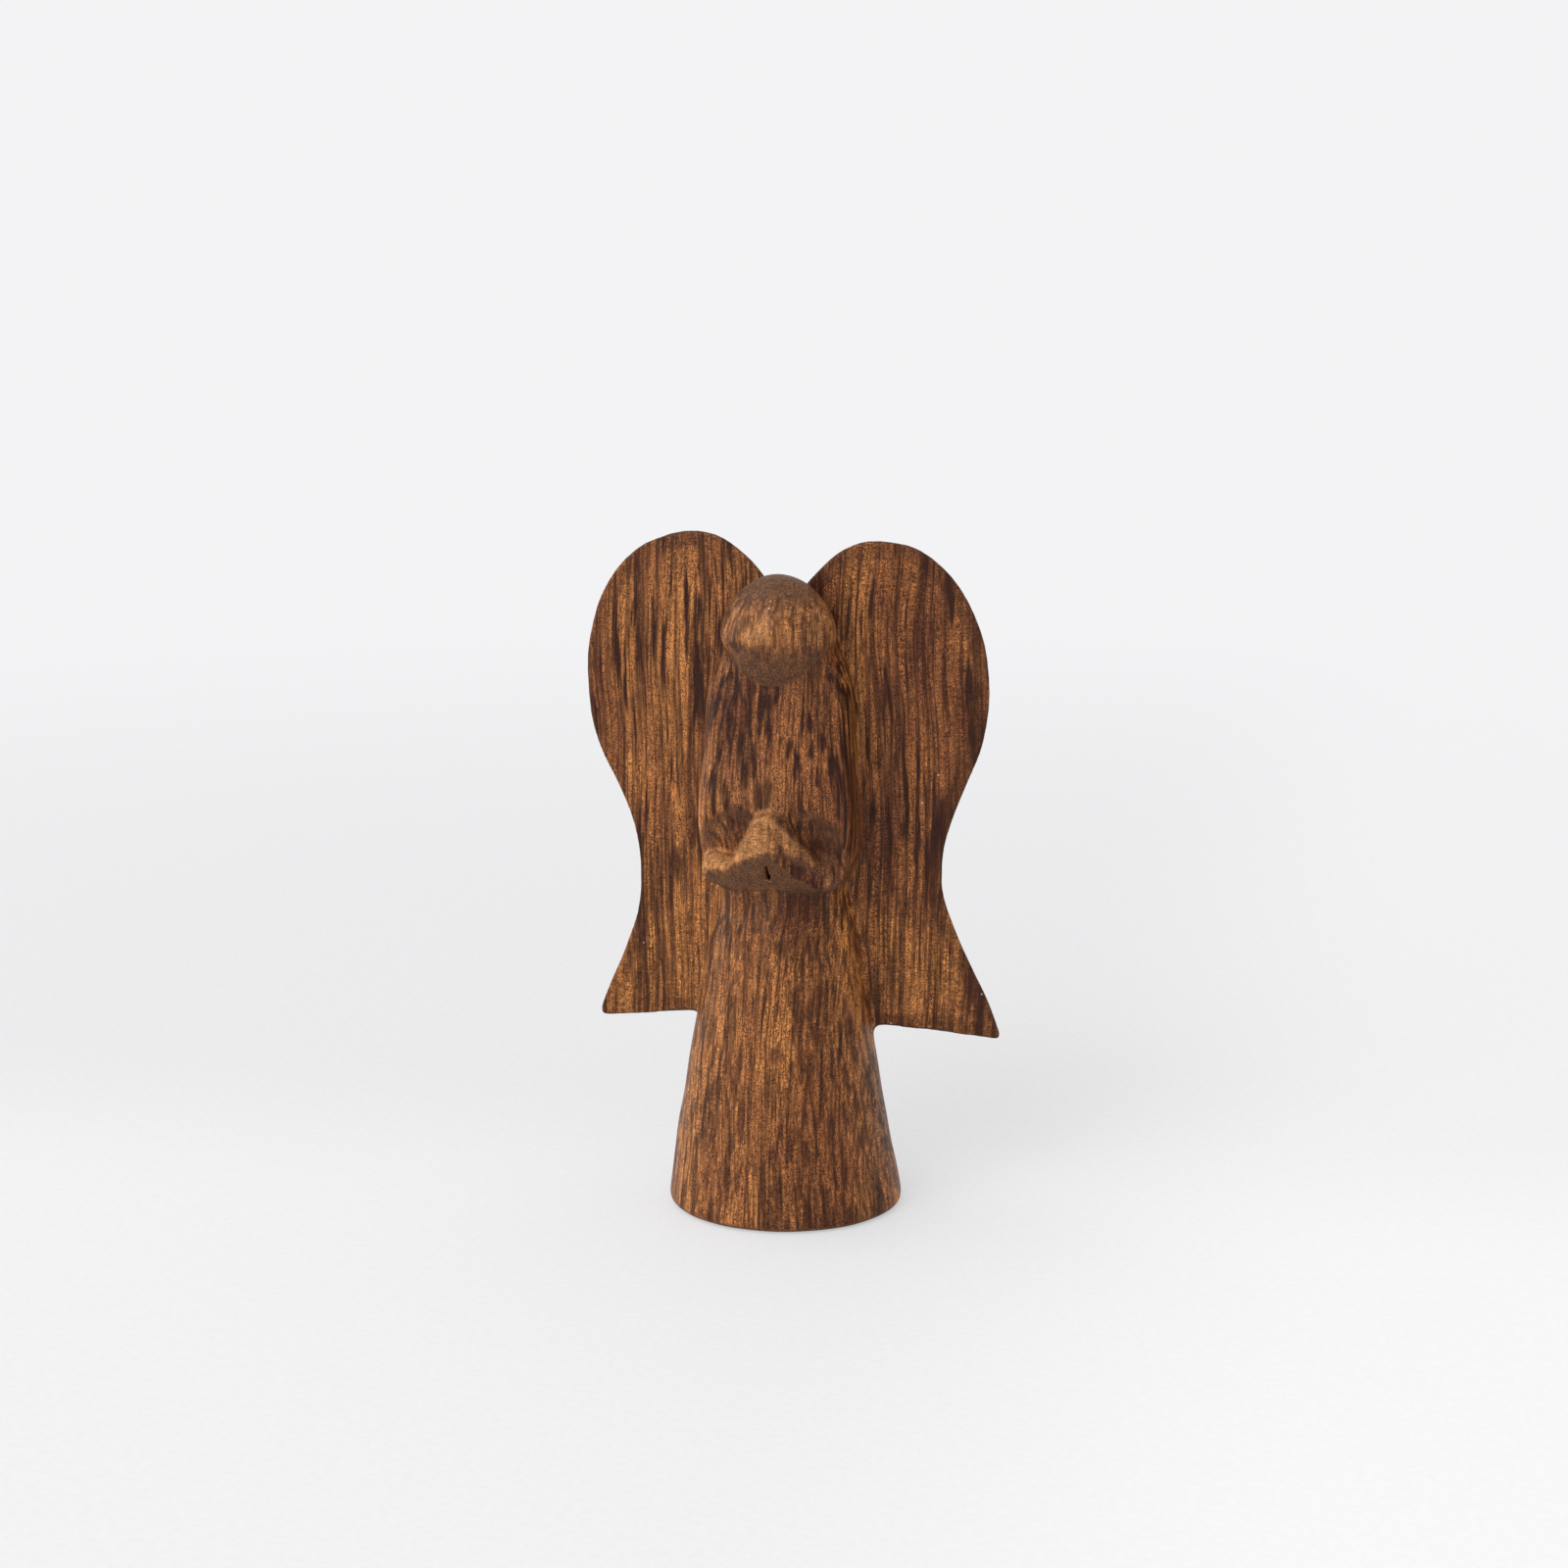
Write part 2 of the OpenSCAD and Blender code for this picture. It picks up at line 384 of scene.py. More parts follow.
def wrist_slit(x, y, z):
    """The narrow slit where the wrists part, cut up into the underside and a little wider below."""
    half = 0.14 + 0.08 * (SLIT_Z + SLIT_HALF - z)
    sides = np.abs(x - SLIT_X) - half
    below = -1.2 - underside(x, y, z)
    ends = np.abs(z - SLIT_Z) - SLIT_HALF
    return np.maximum(np.maximum(sides, below), ends)


def arms(x, y, z):
    """Both forearms and hands, with the slit under the wrists and a groove along the left forearm."""
    pair = smooth_min(hands(x, y, z), limb(x, y, z, RIGHT_ELBOW), 1.0)
    pair = smooth_min(pair, limb(x, y, z, LEFT_ELBOW), 1.0)
    pair = smooth_max(pair, -underside(x, y, z), 1.2)
    pair = smooth_max(pair, -limb(x, y, z, LEFT_GROOVE), 0.6)
    return smooth_max(pair, -wrist_slit(x, y, z), 0.55)


def unevenness(x, y, z):
    """Slow waves left by hand carving, about a tenth of a millimetre."""
    return (
        0.05 * np.sin(0.55 * x + 0.21 * z + 1.3) * np.sin(0.31 * z - 0.4 * y)
        + 0.04 * np.sin(0.23 * x - 0.47 * z) * np.sin(0.62 * y + 0.35 * x + 2.0)
        + 0.025 * np.sin(0.9 * x + 0.3) * np.sin(0.7 * z + 0.5 * y)
    )


def carving(x, y, z):
    """Distance in millimetres to the whole figure, negative inside it."""
    hollow_round = 0.8 + 2.2 * step(np.abs(x), 2, 6)
    wing_fillet = 3.6 - 1.6 * step(z, 46, 62)
    head_fillet, arm_fillet, foot_round = 1.2, 1.5, 2.6
    figure = smooth_max(body(x, y, z), -hollow(x, y, z), hollow_round)
    wings = smooth_min(wing(x, y, z, 1, LEFT_OUTLINE), wing(x, y, z, -1, RIGHT_OUTLINE), 1.0)
    figure = smooth_min(figure, wings, wing_fillet)
    figure = smooth_min(figure, head(x, y, z), head_fillet)
    figure = smooth_min(figure, arms(x, y, z), arm_fillet)
    return smooth_max(figure + unevenness(x, y, z), -z, foot_round)


# ------------------------------------------------------------------ from distance function to mesh


def surface_mesh(distance, low, high, pitch):
    """Vertices and quads of the surface where distance is zero, on a regular grid."""
    counts = [int(math.ceil((b - a) / pitch)) + 1 for a, b in zip(low, high)]
    x, y, z = (a + pitch * np.arange(n) for a, n in zip(low, counts))
    slabs = [distance(x[:, None, None], y[None, :, None], s[None, None, :]) for s in np.array_split(z, 12)]
    grid = openvdb.FloatGrid(100.0)
    grid.copyFromArray(np.concatenate(slabs, axis=2).astype(np.float32))
    vertices, faces = grid.convertToQuads(isovalue=0.0)
    return np.array(low) + pitch * vertices.astype(float), faces


def gradient(distance, p, h=0.03):
    """Direction in which the distance grows fastest at each point, from samples h to both sides."""
    parts = []
    for axis in range(3):
        step_by = np.zeros(3)
        step_by[axis] = h
        parts.append((distance(*(p + step_by).T) - distance(*(p - step_by).T)) / (2 * h))
    return np.stack(parts, 1)


def settle(distance, p, rounds=2):
    """Moves points onto the surface, along the gradient."""
    for _ in range(rounds):
        g = gradient(distance, p)
        p = p - g * (distance(*p.T) / np.maximum((g * g).sum(1), 0.05))[:, None]
    return p


def new_object(name, mesh):
    made = bpy.data.objects.new(name, mesh)
    bpy.context.scene.collection.objects.link(made)
    return made


def sculpt():
    """The whole figure as one mesh object, in metres."""
    margin = 1.5
    low = (cad_low[0] / MM - margin, cad_low[1] / MM - margin, -1.0)
    high = [side / MM + margin for side in cad_high]
    vertices, faces = surface_mesh(carving, low, high, GRID)
    vertices = settle(carving, vertices)
    mesh = bpy.data.meshes.new("figure")
    mesh.from_pydata((vertices * MM).tolist(), [], faces.tolist())
    mesh.update()
    return new_object("figure", mesh)


# ------------------------------------------------------------------ dividing it into pieces

# Reach of a cutting block past the figure
FAR = 60.0
# Distance from the middle at which a wing is seated in the body
WING_ROOT = 7.0
# Bottom of the wings' blocks, low enough to take in the fillets under the wings
WING_BLOCK_Z = 15.0
# A wing's block is this much thicker than the wing, before and behind
WING_SPARE = 0.3
# Distance from the middle to the plane between a sleeve and the torso
SLEEVE_SEAT = 8.6
# Depth of the plane between the forearms and the torso, and its top
HOLLOW_BACK = -7.9
HOLLOW_TOP = 60.6
# Whatever stands further forward than this belongs to the arms
HAND_BACK = -11.7
# A loose island of fewer faces than this is a scrap
SCRAP_FACES = 12


def prism(outline, low, high, place):
    """A closed block with the given outline, from low to high; place turns both into x, y and z."""
    build = bmesh.new()
    rings = []
    for level in (low, high):
        ring = []
        for a, b in outline:
            ring.append(build.verts.new(Vector(place(a, b, level)) * MM))
        rings.append(ring)
    count = len(outline)
    build.faces.new(rings[0])
    build.faces.new(rings[1][::-1])
    for i in range(count):
        j = (i + 1) % count
        build.faces.new([rings[0][i], rings[1][i], rings[1][j], rings[0][j]])
    bmesh.ops.recalc_face_normals(build, faces=build.faces)
    mesh = bpy.data.meshes.new("cutter")
    build.to_mesh(mesh)
    build.free()
    for polygon in mesh.polygons:
        polygon.material_index = 1
    return new_object("cutter", mesh)


def wing_block(side):
    """The space that one wing fills, seated in the body and meeting the other wing behind the head."""
    top = 2 * FAR
    outline = [
        (WING_ROOT, WING_BLOCK_Z), (FAR, WING_BLOCK_Z), (FAR, top),
        (0, top), (0, CHIN_Z), (WING_ROOT, CHIN_Z),
    ]
    half = WING_HALF + WING_SPARE

    def swept(u, z, y):
        return u * side, y + u * WING_SWEEP, z

    return prism(outline, WING_MIDDLE - half, WING_MIDDLE + half, swept)


def arm_block(side):
    """The space that one arm fills: beside the torso, in the hollow, and in front of the chest."""

    def upright(u, y, z):
        return u * side, y, z

    def box(inner, back, top):
        corners = [(inner, -FAR), (FAR, -FAR), (FAR, back), (inner, back)]
        return prism(corners, WAIST_Z, top, upright)

    parts = [
        box(SLEEVE_SEAT, 0, SLEEVE_TOP),
        box(0, HOLLOW_BACK, HOLLOW_TOP),
        box(0, HAND_BACK, SLEEVE_TOP),
    ]
    pair = cut(parts[0], parts[1], "UNION", "pair")
    whole = cut(pair, parts[2], "UNION", "arm_space")
    for scrap in parts + [pair]:
        bpy.data.objects.remove(scrap)
    return whole


def robe_block():
    """All the space below the waist."""
    square = [(-FAR, -FAR), (FAR, -FAR), (FAR, FAR), (-FAR, FAR)]
    return prism(square, -FAR, WAIST_Z, lambda x, y, z: (x, y, z))


def torso_block():
    """The space from the waist to the chin, and behind the wings on up to where the back runs out."""
    outline = [
        (-FAR, WAIST_Z), (FAR, WAIST_Z), (FAR, BODY_TOP),
        (WING_MIDDLE, BODY_TOP), (WING_MIDDLE, CHIN_Z), (-FAR, CHIN_Z),
    ]
    return prism(outline, -FAR, FAR, lambda y, z, x: (x, y, z))


def cut(source, cutter, operation, name):
    """A new object: source cut by cutter. Both are left as they were."""
    result = source.copy()
    result.data = source.data.copy()
    result.name = name
    bpy.context.scene.collection.objects.link(result)
    modifier = result.modifiers.new("cut", "BOOLEAN")
    modifier.operation = operation
    modifier.object = cutter
    modifier.solver = "MANIFOLD"
    bpy.context.view_layer.update()
    evaluated = result.evaluated_get(bpy.context.evaluated_depsgraph_get())
    mesh = bpy.data.meshes.new_from_object(evaluated)
    result.modifiers.clear()
    result.data = mesh
    return result


def drop_scraps(mesh):
    """Removes the loose slivers without thickness that are left where two cuts share a plane."""
    build = bmesh.new()
    build.from_mesh(mesh)
    waiting = set(build.faces)
    scraps = []
    while waiting:
        island = [waiting.pop()]
        # The island grows while it is walked through.
        for face in island:
            beside = {other for edge in face.edges for other in edge.link_faces}
            for other in beside & waiting:
                waiting.remove(other)
                island.append(other)
        if len(island) < SCRAP_FACES:
            scraps += island
    bmesh.ops.delete(build, geom=scraps, context="FACES")
    build.to_mesh(mesh)
    build.free()


def divide(figure):
    """The figure's seven pieces, by name."""
    pieces = {}
    rest = figure
    used = [figure]
    for name, block in (
        ("left_wing", wing_block(1)),
        ("right_wing", wing_block(-1)),
        ("left_arm", arm_block(1)),
        ("right_arm", arm_block(-1)),
        ("robe", robe_block()),
        ("torso", torso_block()),
    ):
        pieces[name] = cut(rest, block, "INTERSECT", name)
        rest = cut(rest, block, "DIFFERENCE", "rest")
        used += [block, rest]
    pieces["head"] = rest
    used.remove(rest)
    rest.name = "head"
    for scrap in used:
        bpy.data.objects.remove(scrap)
    for piece in pieces.values():
        drop_scraps(piece.data)
    return pieces


def read(collection, name, width, kind=float):
    """One property of all the elements of a mesh, as an array with the given number of columns."""
    values = np.zeros(len(collection) * width, kind)
    collection.foreach_get(name, values)
    return values.reshape(-1, width) if width > 1 else values


def finish_normals(piece):
    """Smooth shading that matches across the seams: the carved skin takes the sculpture's own normals.

    Returns the vertices in millimetres and the sculpture's normal at each of them.
    """
    mesh = piece.data
    points = read(mesh.vertices, "co", 3) / MM
    skin = gradient(carving, points)
    skin /= np.linalg.norm(skin, axis=1)[:, None]
    normals = skin[read(mesh.loops, "vertex_index", 1, int)]
    polygon_of_corner = np.repeat(np.arange(len(mesh.polygons)), read(mesh.polygons, "loop_total", 1, int))
    on_cut = read(mesh.polygons, "material_index", 1, int)[polygon_of_corner] > 0
    normals[on_cut] = read(mesh.polygons, "normal", 3)[polygon_of_corner[on_cut]]
    mesh.polygons.foreach_set("use_smooth", np.ones(len(mesh.polygons), bool))
    mesh.normals_split_custom_set(normals.tolist())
    mesh.polygons.foreach_set("material_index", np.zeros(len(mesh.polygons), np.int32))
    return points, skin


# ------------------------------------------------------------------ painted shade, polish and painted light, as one number for each vertex


def beside_band(x, z):
    """Height above the middle of the band along the left forearm that is polished and painted light, where
    light falls on it.
    """
    return z - 60.4 + 1.12 * x


def hollow_shade(points, skin):
    """How much painted shade each point of the skin gets, from 0 in the open to 1 deep in a hollow."""
    # Painted shade as ambient occlusion: the less free space beside the skin, the darker.
    depth = np.zeros(len(points))
    for reach, weight in ((0.8, 0.35), (2.0, 0.35), (4.0, 0.3)):
        free = carving(*(points + skin * reach).T)
        depth += weight * np.clip(1 - free / reach, 0, 1)
    x, y, z = points.T
    off_the_arms = step(arms(x, y, z), 0.05, 0.4)

    # Painted shade in the scoops: darkest low down and in the left one, lightest at the top of the right
    # one.
    scoop_shade = (1 - step(np.abs(hollow(x, y, z)), 0.2, 2.4)) * off_the_arms
    scoop_shade *= 0.36 + 0.16 * (1 - step(z, 55, 58.5)) - 0.24 * step(-x, 0, 2) * step(z, 56, 59.5)
    scoop_shade *= 1 + 0.35 * step(x, 1, 3)

    # Painted shade in the coves between the torso and the wings, on the robe under the arms, and in the
    # left forearm's groove.
    cove_shade = 0.5 * step(depth, 0.06, 0.16) * step(z, 50, 56) * off_the_arms
    shade_under_arms = 0.75 * within(z, 34, 49, 51, 53) * step(-y, 3, 7) * off_the_arms
    groove = 0.6 * within(x, 1.0, 2.4, 6.5, 9) * step(-y, 8.5, 10)
    groove *= within(-beside_band(x, z), 1.6, 2.3, 3.4, 4.4)
    return np.max([depth, cove_shade, scoop_shade, groove, shade_under_arms], axis=0)


def sharpness(points, skin):
    """How near each point of the skin lies to an edge, from 0 on broad surfaces to 1."""
    reach, gain = 2.0, 5.0
    depth = -carving(*(points - skin * reach).T)
    return np.clip(gain * (1 - depth / reach), 0, 1)


def polish_and_light_amount(points, skin):
    """How much each point is polished and painted light: most on the hands, and on the front of the dome
    where light falls.
    """
    x, y, z = points.T
    forward = step(-y, 9.5, 13.0) * step(z, 50, 54)
    on_arms = 1 - step(arms(x, y, z), 0.1, 1.0)
    on_head = 1 - step(head(x, y, z), 0.1, 1.0)
    on_head *= 0.45 * step(z, 83, 86) * (1 - 0.8 * step(z, 90, 93.5))

    # The left forearm is polished and painted light less than the right one, which faces the light, and
    # mostly along a band from fingertips to elbow.
    off_band = np.abs(beside_band(x, z))
    left = 1 - 0.42 * step(x, 0.1, 0.7) - 0.25 * step(x, 1.2, 6)
    left *= 1 - step(x, 1.2, 2.4) * step(off_band, 0.9, 2.0)
    left += 0.24 * within(x, 0.9, 1.8, 3.5, 8) * (1 - step(off_band, 0.9, 1.9))

    # Only surfaces that don't face down are polished and painted light.
    faces_up = step(skin[:, 2], -0.45, -0.1)
    return np.maximum(np.maximum(forward * 0.8, on_arms) * left, on_head) * faces_up


def store(piece, name, values):
    """Keeps one number for each vertex of a piece, for its material to read."""
    layer = piece.data.attributes.new(name, "FLOAT", "POINT")
    layer.data.foreach_set("value", np.asarray(values, np.float32))


# ------------------------------------------------------------------ materials

# Colours are linear RGB.
# Polished wood, also painted light, for the hands, forearms and the front of the dome.
POLISHED_LIT_WOOD = (0.475, 0.213, 0.074)
LIGHT_WOOD = (0.440, 0.172, 0.050)
MID_WOOD = (0.255, 0.092, 0.030)
RED_WOOD = (0.150, 0.048, 0.020)
# Dark streak colour, also used for painted shade in hollows and along the wings' rims.
STREAK_AND_SHADE = (0.030, 0.0090, 0.0050)
# End-grain colour, also used for painted shade on downward-facing surfaces.
END_GRAIN_AND_SHADE = (0.092, 0.043, 0.022)
DUST = (0.62, 0.52, 0.40)
FLOOR_DARK = (0.33, 0.33, 0.335)
FLOOR_LIGHT = (0.35, 0.35, 0.355)


class Graph:
    """Short names for the nodes of one material."""

    def __init__(self, owner, shader="Principled BSDF"):
        owner.use_nodes = True
        self.tree = owner.node_tree
        self.shader = self.tree.nodes[shader]

    def put(self, socket, value):
        """Links a socket to a node's output, or sets it to a number or a colour."""
        if hasattr(value, "is_output"):
            self.tree.links.new(value, socket)
        elif hasattr(socket.default_value, "__len__") and len(socket.default_value) == 4:
            socket.default_value = (*value, 1)
        else:
            socket.default_value = value

    def node(self, kind, settings=None, **inputs):
        """A new node with the given settings, and its inputs linked or set."""
        made = self.tree.nodes.new("ShaderNode" + kind)
        for key, value in (settings or {}).items():
            setattr(made, key, value)
        for key, value in inputs.items():
            self.put(made.inputs[key], value)
        return made

    def math(self, operation, a, b=0.0):
        made = self.node("Math", {"operation": operation})
        self.put(made.inputs[0], a)
        self.put(made.inputs[1], b)
        return made.outputs[0]

    def plus(self, *terms):
        total = terms[0]
        for term in terms[1:]:
            total = self.math("ADD", total, term)
        return total

    def times(self, *factors):
        product = factors[0]
        for factor in factors[1:]:
            product = self.math("MULTIPLY", product, factor)
        return product

    def vector(self, operation, a, b):
        made = self.node("VectorMath", {"operation": operation})
        self.put(made.inputs[0], a)
        self.put(made.inputs[1], b)
        return made.outputs[0]

    def split(self, vector):
        """The X, Y and Z of a vector or a colour."""
        made = self.node("SeparateXYZ", Vector=vector)
        return [made.outputs[axis] for axis in "XYZ"]

    def between(self, value, start, end, low=0.0, high=1.0):
        """Low below start, high above end, and smooth between."""
        made = self.node("MapRange", {"interpolation_type": "SMOOTHSTEP"})
        for socket, given in zip(made.inputs, (value, start, end, low, high)):
            self.put(socket, given)
        return made.outputs[0]

    def noise(self, place, per_mm, detail=2.0, rough=0.5, seed=0.0, output="Fac"):
        """Noise with the given number of features per millimetre along X, Y and Z."""
        scaled = self.vector("MULTIPLY", place, per_mm)
        moved = self.vector("ADD", scaled, (seed, seed * 1.7, seed * 0.6))
        made = self.node("TexNoise", Vector=moved, Scale=1.0, Detail=detail, Roughness=rough)
        return made.outputs[output]

    def mix(self, share, a, b, how="MIX"):
        made = self.node("Mix", {"data_type": "RGBA", "blend_type": how})
        for socket, given in ((0, share), (6, a), (7, b)):
            self.put(made.inputs[socket], given)
        return made.outputs[2]

    def shade(self, colour, level, share=1.0):
        """Multiplies a colour by a level, as far as share says."""
        grey = self.node("CombineXYZ", X=level, Y=level, Z=level).outputs[0]
        return self.mix(share, colour, grey, "MULTIPLY")

    def attribute(self, name):
        return self.node("Attribute", {"attribute_name": name}).outputs["Fac"]


# Darkness of the growth bands from the right wing's edge, 0, to the left wing's, 1.
BAND_STOPS = [
    (0.00, 0.80), (0.07, 0.75), (0.13, 0.28), (0.20, 0.08), (0.34, 0.12), (0.40, 0.22), (0.45, 0.48),
    (0.50, 0.35), (0.60, 0.45), (0.67, 0.52), (0.74, 0.28), (0.86, 0.72), (0.94, 0.45), (1.00, 0.40),
]
# Distance from the middle to either end of the bands, in millimetres.
BAND_REACH = 32.0


def growth_bands(g, grain):
    """Broad light and dark bands that run up the block, as sawn across its growth rings."""
    across = g.split(grain)[0]
    place = g.math("DIVIDE", g.plus(across, BAND_REACH), 2 * BAND_REACH)
    made = g.node("ValToRGB", Fac=place)
    ramp = made.color_ramp
    ramp.interpolation = "EASE"
    while len(ramp.elements) < len(BAND_STOPS):
        ramp.elements.new(0.5)
    for element, (at, dark) in zip(ramp.elements, BAND_STOPS):
        element.position = at
        element.color = (dark, dark, dark, 1)
    return made.outputs["Color"]


def plain_wood(g, grain, z, forward, cloud):
    """Colour of the wood between its streaks: its bands, broad drifts, and redder clouds."""
    drift = g.noise(grain, (0.18, 0.06, 0.014), 3, 0.6, 7)
    dark = g.plus(
        growth_bands(g, grain),
        g.between(drift, 0.3, 0.7, -0.45, 0.45),
        g.between(z, 6.0, 28.0, 0.12, -0.4),
        g.between(z, 34.0, 64.0, -0.1, 0.48),
        g.between(z, 86.0, 98.0, 0.0, 0.3),
        g.times(forward, 0.26),
    )
    wood = g.mix(g.between(dark, 0.0, 0.9), LIGHT_WOOD, MID_WOOD)
    clouded = g.times(g.between(cloud, 0.45, 0.65), g.between(z, 28.0, 55.0, 0.4, 0.75))
    return g.mix(clouded, wood, RED_WOOD)


def bold_streaks(g, grain, z, forward, torn):
    """Few, broad and long streaks, which crowd together in places and thin out towards the base."""
    crowd = g.noise(grain, (0.1, 0.1, 0.035), 2, 0.5, 3)
    level = g.plus(
        g.noise(grain, (1.15, 1.15, 0.09), 2, 0.5, 11),
        g.between(crowd, 0.3, 0.7, -0.07, 0.07),
        g.times(forward, g.between(z, 50.0, 62.0, 0.0, 0.03)),
        torn,
    )
    return g.times(g.between(level, 0.55, 0.62), g.between(z, 40.0, 62.0, 0.7, 1.0))


def hardwood():
    """Reddish-brown open-pored hardwood with its grain along Z, waxed to a satin finish."""
    material = bpy.data.materials.new("hardwood")
    g = Graph(material)
    coordinates = g.node("TexCoord")
    place = g.vector("MULTIPLY", coordinates.outputs["Object"], (1 / MM, 1 / MM, 1 / MM))
    x, y, z = g.split(place)
    sway = g.noise(place, (0.09, 0.09, 0.03), 1, output="Color")
    sway = g.vector("MULTIPLY", g.vector("SUBTRACT", sway, (0.5, 0.5, 0.5)), (3.6, 3.6, 0.0))
    grain = g.vector("ADD", place, sway)
    # 1 on the chest and hands and the front of the robe, 0 on the wings.
    forward = g.between(y, -8.0, -2.0, 1.0, 0.0)
    cloud = g.plus(g.noise(place, (0.11, 0.11, 0.05), 4, 0.6, 31), g.times(x, 0.0025))
    wood = plain_wood(g, grain, z, forward, cloud)

    # Fibre ends, which also tear the outline of the streaks.
    fibre = g.noise(place, (5.5, 5.5, 4.4), 2, 0.7, 23)
    torn = g.between(fibre, 0.3, 0.7, -0.08, 0.08)

    # Streaks, from broad and few to fine and many.
    bold = bold_streaks(g, grain, z, forward, torn)
    line = g.between(g.plus(g.noise(grain, (1.7, 0.5, 0.035), 2, 0.5, 19), torn), 0.54, 0.61)
    thin = g.between(g.noise(grain, (2.8, 0.7, 0.07), 3, 0.6, 5), 0.48, 0.62)
    pore = g.between(g.noise(grain, (4.5, 2.0, 0.6), 2, 0.6, 17), 0.5, 0.64)

    # Ripple marks across the grain, in patches.
    ripple = g.between(g.noise(place, (0.9, 0.9, 3.6), 1, 0.5, 41), 0.42, 0.62)
    patch = g.between(g.noise(place, (0.13, 0.13, 0.06), 2, 0.5, 53), 0.45, 0.56)

    # Hands, brow and elbows are polished lighter and painted light where light falls, and their streaks
    # are fainter.
    polish_and_painted_light = g.attribute("polish_and_painted_light")
    away_from_polish_and_light = g.between(polish_and_painted_light, 0.0, 1.0, 1.0, 0.22)
    mottle = g.noise(place, (1.9, 1.9, 1.1), 2, 0.6, 29)
    wood = g.mix(g.times(polish_and_painted_light, 0.92), wood, POLISHED_LIT_WOOD)
    wood = g.shade(wood, g.between(mottle, 0.3, 0.7, 0.8, 1.2))
    for share in (
        g.times(ripple, patch, 0.4),
        g.times(pore, 0.4),
        g.times(thin, 0.58, away_from_polish_and_light),
        g.times(line, 0.7, away_from_polish_and_light),
        g.times(bold, away_from_polish_and_light),
    ):
        wood = g.mix(share, wood, STREAK_AND_SHADE)
    wood = g.shade(wood, g.between(fibre, 0.34, 0.66, 0.2, 1.85), g.between(polish_and_painted_light, 0.0, 1.0, 1.0, 0.6))

    # Where the surface cuts across the fibres, their ends are darker and greyer. Downward-facing surfaces
    # are darkened much more than upward ones, and that extra darkening is painted shade on the undersides.
    up = g.split(coordinates.outputs["Normal"])[2]
    facing_up = g.times(g.between(up, 0.35, 0.9, 0.0, 0.8), away_from_polish_and_light)
    # Painted shade: the more a surface faces down, the darker it is.
    ends = g.plus(facing_up, g.between(up, -0.62, -0.15, 0.9, 0.0))
    dots = g.noise(place, (5.0, 5.0, 5.0), 3, 0.7, 61)
    wood = g.mix(ends, wood, g.shade(END_GRAIN_AND_SHADE, g.between(dots, 0.36, 0.66, 0.35, 2.2)))

    # Painted shade darkens the hollows, the coves, the robe under the arms and the wings' rims, where
    # shade falls, and a few specks of dust lie anywhere.
    painted_shade_in_hollows = g.between(g.attribute("hollow"), 0.28, 0.95, 0.0, 0.66)
    painted_rim_shade = g.times(g.attribute("edge"), g.between(cloud, 0.38, 0.62, 0.25, 0.65))
    wood = g.mix(g.math("MAXIMUM", painted_shade_in_hollows, painted_rim_shade), wood, STREAK_AND_SHADE)
    speck = g.node("TexVoronoi", Vector=place, Scale=0.45)
    near = g.between(speck.outputs["Distance"], 0.05, 0.08, 1.0, 0.0)
    chosen = g.math("GREATER_THAN", g.split(speck.outputs["Color"])[0], 0.9)
    wood = g.mix(g.times(near, chosen, 0.55), wood, DUST)
    g.put(g.shader.inputs["Base Color"], wood)

    gloss = g.noise(place, (0.5, 0.5, 0.2), 3, 0.6, 71)
    open_grain = g.times(g.math("MAXIMUM", pore, ends), 0.12)
    g.put(g.shader.inputs["Roughness"], g.plus(g.between(gloss, 0.3, 0.7, 0.38, 0.5), open_grain))
    g.shader.inputs["Specular IOR Level"].default_value = 0.07
    g.shader.inputs["Coat Weight"].default_value = 0.09
    g.shader.inputs["Coat Roughness"].default_value = 0.34
    relief = g.math("SUBTRACT", g.times(fibre, 0.4), g.plus(pore, g.times(bold, 0.5)))
    bump = g.node("Bump", Strength=0.35, Distance=0.04 * MM, Height=relief)
    g.put(g.shader.inputs["Normal"], bump.outputs["Normal"])
    return material


# ------------------------------------------------------------------ stage, light and camera


def stage():
    """A pale floor that fades into the backdrop well behind the figure, and is open from below."""
    mesh = bpy.data.meshes.new("floor")
    half, gap = 4.0, 0.05 * MM
    corners = [(-half, -half, -gap), (half, -half, -gap), (half, half, -gap), (-half, half, -gap)]
    mesh.from_pydata(corners, [], [(0, 1, 2, 3)])
    floor = new_object("floor", mesh)
    material = bpy.data.materials.new("floor")
    g = Graph(material)
    place = g.node("TexCoord").outputs["Object"]
    tone = g.node("TexNoise", Vector=place, Scale=900.0, Detail=3.0).outputs["Fac"]
    g.put(g.shader.inputs["Base Color"], g.mix(g.between(tone, 0.3, 0.7), FLOOR_DARK, FLOOR_LIGHT))
    g.shader.inputs["Roughness"].default_value = 0.75
    g.shader.inputs["Specular IOR Level"].default_value = 0.2
    # Painted light: the floor glows, a little brighter in front and towards the right, which fills in the
    # figure's shadows on it.
    g.shader.inputs["Emission Color"].default_value = (1, 1, 1, 1)
    x, y, _ = g.split(place)
    painted_floor_glow = g.plus(g.between(y, -0.02, 0.06, 0.46, 0.41), g.between(x, 0.01, 0.09, 0.0, 0.06))
    g.put(g.shader.inputs["Emission Strength"], painted_floor_glow)
    away = g.node("VectorMath", {"operation": "LENGTH"}, Vector=place).outputs["Value"]
    above = g.math("SUBTRACT", 1.0, g.node("NewGeometry").outputs["Backfacing"])
    g.put(g.shader.inputs["Alpha"], g.times(g.between(away, 0.14, 0.62, 1.0, 0.0), above))
    mesh.materials.append(material)


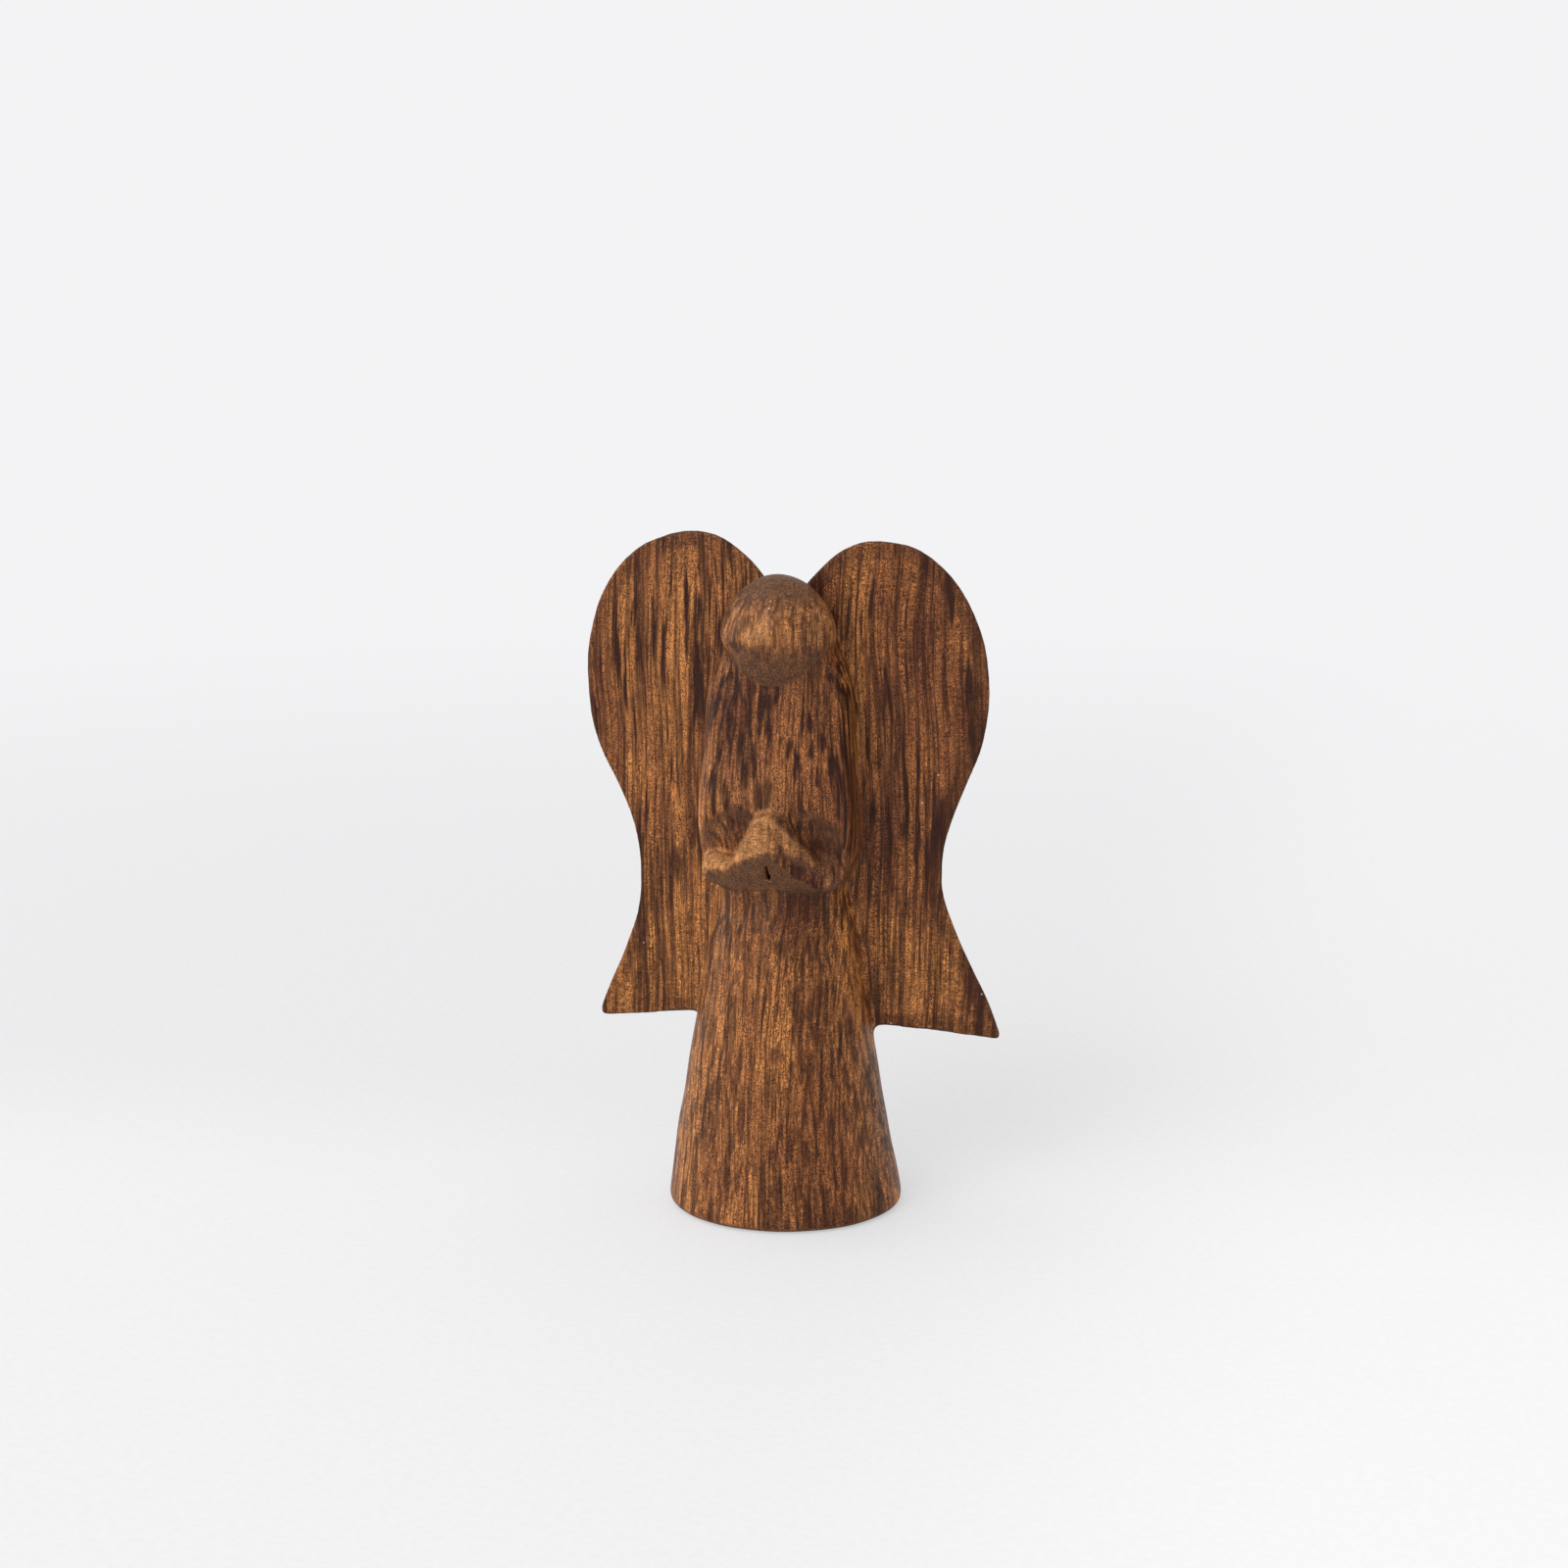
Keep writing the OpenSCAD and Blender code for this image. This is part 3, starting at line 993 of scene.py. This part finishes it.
def area_light(name, place, target, size, watts):
    """A round soft light at a place, turned towards a target."""
    data = bpy.data.lights.new(name, "AREA")
    data.shape = "DISK"
    data.size = size
    data.energy = watts
    light = new_object(name, data)
    light.location = place
    light.rotation_euler = (Vector(target) - Vector(place)).to_track_quat("-Z", "Y").to_euler()


def lights():
    """A pale studio, brighter in front towards the figure's right, with one soft key light."""
    world = bpy.data.worlds.new("studio")
    bpy.context.scene.world = world
    world.use_nodes = True
    g = Graph(world, "Background")
    g.shader.inputs["Color"].default_value = (0.985, 0.985, 1.0, 1)
    x, y, _ = g.split(g.node("TexCoord").outputs["Generated"])
    from_front = g.between(y, 0.3, 0.8, 1.0, 0.0)
    from_right = g.math("MAXIMUM", g.times(x, -1.0), 0.0)
    from_left = g.math("MAXIMUM", x, 0.0)
    uneven = g.math("SUBTRACT", g.times(from_right, 0.85), g.times(from_left, 0.12))
    g.put(g.shader.inputs["Strength"], g.plus(g.times(from_front, uneven), 0.91))
    area_light("key", place=(-0.4, -0.95, 0.8), target=(0, 0, 0.05), size=0.8, watts=5.5)


def camera():
    """Looks slightly down on the figure, from its front left."""
    distance = 0.4785
    pitch, yaw = math.radians(11.5), math.radians(12)
    target = Vector((-0.3, 0, 63.2)) * MM
    back = Vector((math.sin(yaw) * math.cos(pitch), -math.cos(yaw) * math.cos(pitch), math.sin(pitch)))
    data = bpy.data.cameras.new("camera")
    data.lens = 75
    made = new_object("camera", data)
    made.location = target + back * distance
    made.rotation_euler = (-back).to_track_quat("-Z", "Y").to_euler()
    bpy.context.scene.camera = made


# ------------------------------------------------------------------ putting it together

bpy.context.scene.view_settings.view_transform = "Standard"
pieces = divide(sculpt())
wood = hardwood()
for name, piece in pieces.items():
    points, skin = finish_normals(piece)
    # The hollow attribute holds painted shade in hollows, coves and under the arms.
    store(piece, "hollow", hollow_shade(points, skin))
    # Only the rims of the wings get painted shade along their sharp edges, where the surface turns away
    # from the light.
    store(piece, "edge", sharpness(points, skin) * ("wing" in name))
    # Polish and painted light on the hands, forearms and the front of the dome.
    store(piece, "polish_and_painted_light", polish_and_light_amount(points, skin))
    piece.data.materials.clear()
    piece.data.materials.append(wood)
    piece.data.name = name + "_carving"
    piece.name = name + "_carving"
    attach(piece, "root")
    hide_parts(name)
stage()
lights()
camera()
